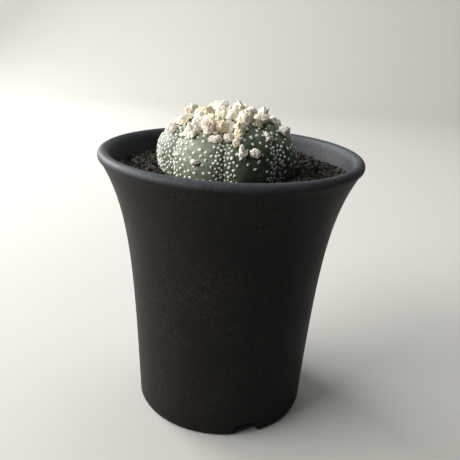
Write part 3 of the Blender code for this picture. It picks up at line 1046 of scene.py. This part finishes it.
@dataclass
class Wool:
    """The woolly tufts on the ribs and the crown, with crumbs of wool between the crowded ones."""

    plant: Plant
    sunk_share: float = 0.16
    rows: int = 40
    columns: int = 60
    facets: int = 14
    crumb_rows: int = 9
    crumb_columns: int = 14
    crumbs: int = 9
    crumb_width: float = 1.7
    crumb_limit: float = 45.0
    strands: int = 60
    strand_length: float = 0.42
    strand_radius: float = 0.028
    strand_steps: int = 4

    def find(self) -> list[Areole]:
        """Read every tuft's place and width from the CAD nodes.

        Returns:
            The tufts, in the order of their names.
        """
        found = []
        for node in sorted(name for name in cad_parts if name.startswith("areole_")):
            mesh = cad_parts[node].data
            co = np.empty(len(mesh.vertices) * 3, np.float32)
            mesh.vertices.foreach_get("co", co)
            points = co.reshape(-1, 3).astype(float) / MM
            middle = 0.5 * (points.min(axis=0) + points.max(axis=0))
            right, front = middle[0] - self.plant.centre_x, self.plant.centre_y - middle[1]
            azimuth = math.degrees(math.atan2(right, front))
            angle = self.plant.nearest_angle(azimuth, middle)
            phase = self.plant.phase_of(azimuth)
            place, _, down, across = self.plant.frame_at(np.array([phase]), np.array([angle]))
            reach = [np.ptp(points @ axis[0]) for axis in (down, across)]
            shape = SHAPES.get(node.removeprefix("areole_"), Shape())
            found.append(Areole(node, shape, place[0], float(np.mean(reach)), phase, angle))
        return found

    def lump(self, form: Lump, rows: int, columns: int, seed: int) -> tuple[np.ndarray, ...]:
        """The matted body of a tuft, about one in radius, seen from its middle.

        In a direction d, lobe i with middle c and radius p reaches d.c + sqrt((d.c)^2 - c.c + p^2),
        the far side of its ball, and the distance is the smooth maximum over the lobes. Each lobe's
        tip adds its height times e to 14 (d.c/|c| - 1). Flat facets cut it back: facet j, with
        normal n at depth h, allows h / d.n, and the smooth minimum is kept. Ripples roughen it.

        Args:
            form: the tuft's form.
            rows: the rings between the poles.
            columns: the points of a ring.
            seed: the tuft's seed.

        Returns:
            Directions of the rings and then both poles, distances, and shares of the darker colour: stain
            at a tip, and painted shade in the folds.
        """
        dice = np.random.default_rng(seed)
        lobes, spread, tip = form.value
        polar = np.linspace(0.0, math.pi, rows + 2)[1:-1, None]
        turn = np.linspace(0.0, TURN, columns, endpoint=False)[None, :]
        x, y = np.sin(polar) * np.cos(turn), np.sin(polar) * np.sin(turn)
        rings = np.stack(np.broadcast_arrays(x, y, np.cos(polar)), axis=-1).reshape(-1, 3)
        directions = np.concatenate([rings, [[0.0, 0.0, 1.0], [0.0, 0.0, -1.0]]])
        around = TURN * (np.arange(lobes) + dice.uniform(-0.2, 0.2, lobes)) / lobes
        if lobes > 3:
            around += dice.uniform(0.0, TURN)
        rise = dice.uniform(0.05, 0.75, lobes) * (1.0 if lobes > 3 else 0.5)
        flat = np.sqrt(1.0 - rise ** 2)
        outwards = np.stack([flat * np.cos(around), flat * np.sin(around), rise], axis=-1)
        stand = spread * dice.uniform(0.75, 1.1, lobes)
        middles = np.concatenate([outwards * stand[:, None], [[0.0, 0.0, 0.15]]])
        sizes = np.maximum(1.0 - stand, stand + 0.02) * dice.uniform(0.9, 1.0, lobes) + 0.02
        radii = np.append(sizes, 0.78 - 0.25 * spread)

        def reach(way: np.ndarray) -> np.ndarray:
            """Distance to the lobes' outline in each direction."""
            along = way @ middles.T
            inside = np.clip(along ** 2 - (middles ** 2).sum(axis=1) + radii ** 2, 0.0, None)
            far = np.clip(along + np.sqrt(inside), 0.05, None)
            soft = np.log(np.exp(16.0 * far).sum(axis=1)) / 16.0
            return soft + (tip * np.exp(14.0 * (way @ outwards.T - 1.0))).max(axis=1)

        normals = unit(dice.normal(size=(self.facets, 3)) + np.array([0.0, 0.0, 0.35]))
        depth = reach(normals) * dice.uniform(0.90, 1.0, self.facets)
        allowed = depth / np.clip(directions @ normals.T, 0.12, None)
        limits = np.concatenate([reach(directions)[:, None], allowed], axis=1)
        distance = -np.log(np.exp(-24.0 * limits).sum(axis=1)) / 24.0
        fine = ripples(directions, 0.5, 22, seed + 1)
        distance = distance / distance[directions[:, 2] > -0.3].mean()
        crumbled = 0.066 * fine + 0.030 * ripples(directions, 0.26, 26, seed + 2)
        distance = distance * (1.0 + crumbled + 0.012 * ripples(directions, 0.13, 26, seed + 3))
        # Painted shade: the hollows between the lobes, and small dips, take the darker stain colour.
        fold_shade = 1.0 - smooth_step(0.72, 0.98, distance)
        spot = unit(dice.normal(size=3) + np.array([0.6, 0.2, 0.6]))
        stained = smooth_step(0.80, 0.97, directions @ spot) * (dice.random() < 0.45)
        return directions, distance, np.clip(0.35 * fold_shade + 0.75 * stained + 0.08 * (fine < -0.8), 0.0, 1.0)

    def crumb_spots(self, areole: Areole, seed: int) -> tuple[np.ndarray, np.ndarray]:
        """Rib phases and crown angles of a tuft's crumbs, in a ring just outside it."""
        dice = np.random.default_rng(seed + 7)
        count = self.crumbs if areole.angle < self.crumb_limit else 0
        turn = dice.uniform(0.0, TURN, count)
        away = areole.width * dice.uniform(0.42, 0.78, count)
        radius = max(float(self.plant.meridian(np.array([areole.angle]))[0][0]), 2.5)
        angle = areole.angle + np.degrees(away * np.cos(turn) / self.plant.radius)
        return areole.phase + np.degrees(away * np.sin(turn) / radius), np.clip(angle, 2.0, 60.0)

    def hairs(self, points: np.ndarray, directions: np.ndarray, seed: int) -> tuple[np.ndarray, ...]:
        """Loose hairs that leave the tuft and curl over: thin three-sided spikes along a parabola.

        Args:
            points: the tuft's points in its own frame.
            directions: their directions.
            seed: the tuft's seed.

        Returns:
            Points of all hairs, their triangles, and the number of the tuft's point each starts at.
        """
        dice = np.random.default_rng(seed + 5)
        roots = dice.choice(np.flatnonzero(directions[:, 2] > -0.1), self.strands, replace=False)
        lean = unit(directions[roots] + 0.7 * dice.normal(size=(self.strands, 3)))
        curl = unit(dice.normal(size=(self.strands, 3)))
        length = self.strand_length * dice.uniform(0.5, 1.25, self.strands)
        share = np.linspace(0.0, 1.0, self.strand_steps)[None, :, None]
        path = (points[roots][:, None] - 0.06 * lean[:, None]
                + lean[:, None] * share * length[:, None, None]
                + curl[:, None] * share ** 2 * 0.45 * length[:, None, None])
        side = unit(np.cross(lean, curl))
        other = np.cross(side, lean)
        turn = TURN * np.arange(3) / 3
        ring = side[:, None] * np.cos(turn)[None, :, None] + other[:, None] * np.sin(turn)[None, :, None]
        girth = self.strand_radius * (1.0 - 0.75 * share)
        tubes = path[:, :, None] + ring[:, None] * girth[..., None]
        forms = np.concatenate([tubes.reshape(self.strands, -1, 3), path[:, :1], path[:, -1:]], axis=1)
        every, faces = join_copies(forms, capped_triangles(self.strand_steps, 3))
        return every, faces, roots

    def settle(self, phase: float, angle: float, local: np.ndarray, lift: float) -> np.ndarray:
        """Set local points (across, down, outwards) on the skin, lifted off it by so many mm."""
        place, normal, down, across = self.plant.frame_at(np.array([phase]), np.array([angle]))
        return place + local[:, :1] * across + local[:, 1:2] * down + (local[:, 2:] + lift) * normal

    def build(self, areole: Areole, seed: int) -> bpy.types.Mesh:
        """Build one tuft with its loose hairs and crumbs, and set it on the skin.

        Args:
            areole: the tuft.
            seed: its seed.

        Returns:
            The mesh, with its tint painted.
        """
        shape = areole.shape
        directions, distance, stain_and_shade = self.lump(shape.lump, self.rows, self.columns, seed)
        x, y, z = (directions * distance[:, None]).T
        x, y = rotated(x, y, math.radians(shape.turn))
        rise = np.where(z > 0.0, shape.height, self.sunk_share * areole.width)
        points = np.stack([0.5 * x * shape.across, 0.5 * y * shape.down, z * rise], axis=-1)
        hairs, hair_faces, roots = self.hairs(points, directions, seed)
        world = [self.settle(areole.phase, areole.angle, np.concatenate([points, hairs]), -0.1)]
        quads, caps = capped_faces(self.rows, self.columns)
        every_quad, every_triangle = [quads[:, ::-1]], [caps[:, ::-1], hair_faces + len(points)]
        fresh, stain_shade_colour = (np.array(linear(code)[:3]) for code in shape.tint.value)
        body = fresh + (stain_shade_colour - fresh) * stain_and_shade[:, None]
        loose = np.repeat(body[roots], len(hairs) // self.strands, axis=0)
        tints = [body, 0.5 * (loose + fresh)]
        dice = np.random.default_rng(seed + 9)
        quads, caps = capped_faces(self.crumb_rows, self.crumb_columns)
        for number, (phase, angle) in enumerate(zip(*self.crumb_spots(areole, seed))):
            ways, reach, crumb_stain_and_shade = self.lump(
                Lump.KNOT, self.crumb_rows, self.crumb_columns, seed + 20 + number)
            size = 0.5 * self.crumb_width * dice.uniform(0.7, 1.3)
            local = ways * reach[:, None] * size * np.array([1.1, 0.9, 0.8])
            start = sum(len(block) for block in world)
            world.append(self.settle(phase, angle, local, 0.15))
            every_quad.append(quads[:, ::-1] + start)
            every_triangle.append(caps[:, ::-1] + start)
            tints.append(fresh + (stain_shade_colour - fresh) * crumb_stain_and_shade[:, None])
        mesh = build_mesh(areole.node.replace("areole_", "wool_"), np.concatenate(world) * MM,
                          [np.concatenate(every_quad), np.concatenate(every_triangle)])
        paint(mesh, "wool_tint", np.concatenate(tints))
        return mesh

    def add(self) -> None:
        """Add every tuft as its own piece."""
        for number, areole in enumerate(self.plant.areoles):
            add_piece(self.build(areole, SEED + 40 + 40 * number), WOOL, [areole.node])


# ---- Filling ----

@dataclass
class Filling:
    """The dark grit round the plant, with loose grains on top, and the hidden layers below it."""

    pot: Pot
    plant: Plant
    level: float = 87.6
    clearance: float = 0.35
    low: float = 25.35
    bed_drop: float = 0.75
    hollow_gap: float = 0.1
    grain: float = 1.25
    grains: int = 5200
    columns: int = 220

    def surface(self, x: np.ndarray, y: np.ndarray) -> np.ndarray:
        """Height of the soil's bed in mm: its level, low swells, and crumbs of a grain's size."""
        flat = np.stack([x, y, np.zeros_like(x)], axis=-1)
        swell = 0.55 * ripples(flat, 17.0, 9, SEED + 6) + 0.35 * ripples(flat, 6.0, 14, SEED + 7)
        return self.level - self.bed_drop + swell + 0.16 * ripples(flat, 1.6, 26, SEED + 8)

    def build(self) -> bpy.types.Mesh:
        """Build the bed: its hollow for the plant, its top, its side along the wall and its base.

        Each ring slides from round the plant's axis to round the pot's, in proportion to its
        distance from the plant.

        Returns:
            The mesh, painted dark.
        """
        azimuth = np.linspace(0.0, TURN, self.columns, endpoint=False)[None, :]
        down = np.linspace(178.0, 106.0, 16)
        hollow_radius, hollow_height = self.plant.meridian(down)
        top = np.linspace(0.0, 1.0, 56)
        side = np.linspace(self.level - 0.8, self.low, 22)[1:]
        edge = self.pot.inner(self.level) - self.clearance
        start = hollow_radius[-1] + self.hollow_gap
        radius = np.concatenate([hollow_radius + self.hollow_gap, start + (edge - start) * top,
                                 self.pot.inner(side) - self.clearance, [20.0, 6.0]])[:, None]
        height = np.concatenate([hollow_height - self.hollow_gap, np.full(len(top), self.level),
                                 side, [self.low] * 2])[:, None]
        slide = np.concatenate([np.zeros(len(down)), top, np.ones(len(side) + 2)])[:, None]
        x = (1.0 - slide) * self.plant.centre_x + radius * np.sin(azimuth)
        y = (1.0 - slide) * self.plant.centre_y - radius * np.cos(azimuth)
        bed = self.surface(x, y)
        shown = np.zeros(len(radius))
        shown[len(down):len(down) + len(top)] = 1.0
        z = np.where(shown[:, None] > 0.5, bed, height)
        points = np.stack([x, y, z], axis=-1).reshape(-1, 3)
        deepest = hollow_height[0] - 2.0 * self.hollow_gap
        poles = np.array([[self.plant.centre_x, self.plant.centre_y, deepest], [0.0, 0.0, self.low]])
        faces = capped_faces(len(radius), self.columns)
        mesh = build_mesh("soil_bed", np.concatenate([points, poles]) * MM, faces)
        paint(mesh, "grain_tint", np.tile(linear("#1b1815")[:3], (len(points) + 2, 1)))
        return mesh

    def grain_form(self) -> tuple[np.ndarray, np.ndarray]:
        """An eight-faced stone with each face split in four: 18 points of length one, 32 faces."""
        axes = np.array([[1, 0, 0], [-1, 0, 0], [0, 1, 0], [0, -1, 0], [0, 0, 1], [0, 0, -1]], float)
        coarse = np.array([[0, 2, 4], [2, 1, 4], [1, 3, 4], [3, 0, 4],
                           [2, 0, 5], [1, 2, 5], [3, 1, 5], [0, 3, 5]])
        ends = np.sort(np.stack([coarse, np.roll(coarse, -1, axis=1)], axis=-1), axis=-1)
        edges, number = np.unique(ends.reshape(-1, 2), axis=0, return_inverse=True)
        middle = number.reshape(-1, 3) + len(axes)
        first, second, third = middle.T
        a, b, c = coarse.T
        split = ((a, first, third), (first, b, second), (third, second, c), (first, second, third))
        fine = np.concatenate([np.stack(corner, axis=-1) for corner in split])
        return np.concatenate([axes, unit(axes[edges].mean(axis=1))]), fine

    def scatter(self, count: int, seed: int) -> tuple[np.ndarray, np.ndarray]:
        """Even spots between plant and wall: a sunflower spiral over the pot, shaken by dice.

        Returns:
            X and Y in mm of the spots that lie on open soil.
        """
        dice = np.random.default_rng(seed)
        number = np.arange(count) + 0.5
        edge = self.pot.inner(self.level) - 0.9
        radius = edge * np.sqrt(number / count)
        turn = number * math.pi * (3.0 - math.sqrt(5.0))
        shake = dice.normal(0.0, 0.35, (2, count))
        x, y = radius * np.sin(turn) + shake[0], -radius * np.cos(turn) + shake[1]
        reach, _ = self.plant.meridian(np.array([106.0]))
        azimuth = np.degrees(np.arctan2(x - self.plant.centre_x, self.plant.centre_y - y))
        off = np.hypot(x - self.plant.centre_x, y - self.plant.centre_y)
        phase = azimuth - self.plant.front_furrow
        furrow = self.plant.rib_depth * self.plant.off_crest(phase) ** 3
        open_soil = (off > reach[0] + 0.15 - furrow) & (np.hypot(x, y) < edge)
        return x[open_soil], y[open_soil]

    def add_grains(self, name: str, count: int, seed: int, lift: float, size: float) -> None:
        """Add one layer of loose grains, each an irregular stone with its own size, turn and tint.

        Args:
            name: the piece's name.
            count: the number of spots over the whole pot.
            seed: the layer's seed.
            lift: how far the grains' middles lie above the bed in mm.
            size: the middle size of a grain in mm.
        """
        dice = np.random.default_rng(seed)
        x, y = self.scatter(count, seed)
        form, faces = self.grain_form()
        total = len(x)
        bumps = dice.uniform(0.72, 1.2, (total, form.shape[0], 1))
        stretch = dice.uniform(0.7, 1.25, (total, 1, 3))
        sizes = 0.5 * size * np.clip(dice.lognormal(0.0, 0.28, total), 0.5, 1.9)
        local = form[None] * bumps * stretch * sizes[:, None, None]
        spin = unit(dice.normal(size=(total, 4)))
        w, i, j, k = spin.T
        turn = np.stack([1 - 2 * (j * j + k * k), 2 * (i * j - k * w), 2 * (i * k + j * w),
                         2 * (i * j + k * w), 1 - 2 * (i * i + k * k), 2 * (j * k - i * w),
                         2 * (i * k - j * w), 2 * (j * k + i * w), 1 - 2 * (i * i + j * j)], axis=-1)
        local = np.einsum("nab,npb->npa", turn.reshape(-1, 3, 3), local)
        z = self.surface(x, y) + lift + dice.uniform(-0.25, 0.35, total)
        points = local + np.stack([x, y, z], axis=-1)[:, None]
        every, triangles = join_copies(points, faces)
        mesh = build_mesh(name, every * MM, [triangles])
        mesh.shade_flat()
        palette = np.array([linear(code)[:3] for code in
                            ("#423f3a", "#524e48", "#302d2a", "#625d54", "#77726a", "#393631")])
        tints = palette[dice.choice(len(palette), total, p=[0.28, 0.24, 0.2, 0.13, 0.05, 0.1])]
        tints = tints * dice.uniform(0.75, 1.3, (total, 1))
        paint(mesh, "grain_tint", np.repeat(tints, form.shape[0], axis=0))
        add_piece(mesh, GRIT, [])

    def dress_hidden(self) -> None:
        """Give the CAD's net and pumice their materials; they lie under the grit, out of sight."""
        for node, finish in (("drain_net", NET_PLASTIC), ("drainage_pumice", PUMICE)):
            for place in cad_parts[node].material_slots:
                place.material = finish.material()
            LOG.info("%s: dressed in %s", node, finish.name)

    def add(self) -> None:
        """Add the bed, two layers of grains and the hidden layers' finishes."""
        add_piece(self.build(), GRIT, ["soil"])
        self.add_grains("soil_grains_lower", self.grains, SEED + 10, 0.15, self.grain)
        self.add_grains("soil_grains_upper", self.grains // 3, SEED + 11, 0.85, 1.15 * self.grain)
        self.dress_hidden()


# ---- Studio ----

@dataclass(frozen=True)
class Lamp:
    """A soft rectangular light: place, aim and size in metres, power in watts and sRGB colour."""

    name: str
    place: tuple[float, float, float]
    aim: tuple[float, float, float]
    size: tuple[float, float]
    power: float
    colour: str

    def add(self) -> None:
        """Hang the light at its place, turned towards its aim."""
        lamp = bpy.data.lights.new(self.name, "AREA")
        lamp.shape = "RECTANGLE"
        lamp.size, lamp.size_y = self.size
        lamp.energy = self.power
        lamp.color = linear(self.colour)[:3]
        holder = bpy.data.objects.new(self.name, lamp)
        holder.location = self.place
        way = Vector(self.aim) - Vector(self.place)
        holder.rotation_euler = way.to_track_quat("-Z", "Y").to_euler()
        bpy.context.scene.collection.objects.link(holder)


LAMPS = (
    Lamp("window", (-1.30, -0.36, 0.78), (0.0, 0.0, 0.08), (1.6, 1.1), 34.0, "#fffefa"),
    Lamp("rim", (-0.72, 0.52, 0.44), (0.0, 0.0, 0.08), (0.50, 0.40), 8.0, "#fffffe"),
    Lamp("ceiling", (0.35, 0.45, 1.3), (0.35, 0.8, 0.3), (1.1, 0.8), 5.0, "#fdfdfa"),
)


@dataclass
class Studio:
    """The pale sweep that the pot stands on, a big soft light at the left, and the camera."""

    sweep_width: float = 3.6
    sweep_front: float = -1.6
    sweep_back: float = 1.15
    sweep_curve: float = 0.35
    sweep_height: float = 1.5
    distance: float = 0.1883
    eye_height: float = 0.1342
    pan: float = 0.257
    tilt: float = 20.16
    roll: float = 3.144
    lens: float = 43.58

    def sweep(self) -> None:
        """Add the sweep: a floor, a quarter round and a wall, drawn as one profile across."""
        curve = np.radians(np.linspace(0.0, 90.0, 24))
        y = np.concatenate([[self.sweep_front], self.sweep_back - self.sweep_curve * (1.0 - np.sin(curve)),
                            [self.sweep_back]])
        z = np.concatenate([[0.0], self.sweep_curve * (1.0 - np.cos(curve)), [self.sweep_height]])
        x = np.array([-0.5, 0.5])[None, :] * self.sweep_width
        points = np.stack(np.broadcast_arrays(x, y[:, None], z[:, None]), axis=-1).reshape(-1, 3)
        row = np.arange(len(y) - 1)[:, None] * 2
        mesh = build_mesh("studio_sweep", points, [row + np.array([[0, 1, 3, 2]])])
        floor = bpy.data.objects.new("studio_sweep", mesh)
        bpy.context.scene.collection.objects.link(floor)
        mesh.materials.append(PAPER.material())

    def air(self, colour: str, strength: float) -> None:
        """Fill the room with an even, dim light."""
        world = bpy.data.worlds.new("studio_air")
        world.use_nodes = True
        backdrop = world.node_tree.nodes["Background"]
        backdrop.inputs["Color"].default_value = linear(colour)
        backdrop.inputs["Strength"].default_value = strength
        bpy.context.scene.world = world

    def camera(self) -> None:
        """Add the camera in front of the pot, looking down at it, with a slight roll."""
        pan, tilt, roll = (math.radians(value) for value in (self.pan, self.tilt, self.roll))
        forward = Vector((math.sin(pan) * math.cos(tilt), math.cos(pan) * math.cos(tilt), -math.sin(tilt)))
        right = Vector((math.cos(pan), -math.sin(pan), 0.0))
        up = right.cross(forward)
        turned_right = math.cos(roll) * right + math.sin(roll) * up
        turned_up = math.cos(roll) * up - math.sin(roll) * right
        matrix = Matrix((turned_right, turned_up, -forward)).transposed().to_4x4()
        matrix.translation = Vector((0.0, -self.distance, self.eye_height))
        data = bpy.data.cameras.new("camera")
        data.lens = self.lens
        data.clip_start, data.clip_end = 0.01, 20.0
        eye = bpy.data.objects.new("camera", data)
        eye.matrix_world = matrix
        bpy.context.scene.collection.objects.link(eye)
        bpy.context.scene.camera = eye

    def add(self) -> None:
        """Set up the studio."""
        bpy.context.scene.view_settings.view_transform = "Standard"
        bpy.context.scene.view_settings.look = "Medium High Contrast"
        self.sweep()
        for lamp in LAMPS:
            lamp.add()
        self.air("#d4dce6", 0.11)
        self.camera()


def main() -> None:
    """Build the potted cactus and its studio."""
    logging.basicConfig(level=logging.INFO, format="%(name)s: %(message)s")
    Studio().add()
    pot = Pot()
    plant = Plant()
    wool = Wool(plant)
    plant.areoles = wool.find()
    pot.add()
    plant.add()
    Flecks(plant).add()
    wool.add()
    Filling(pot, plant).add()


if __name__ == "__main__":
    main()
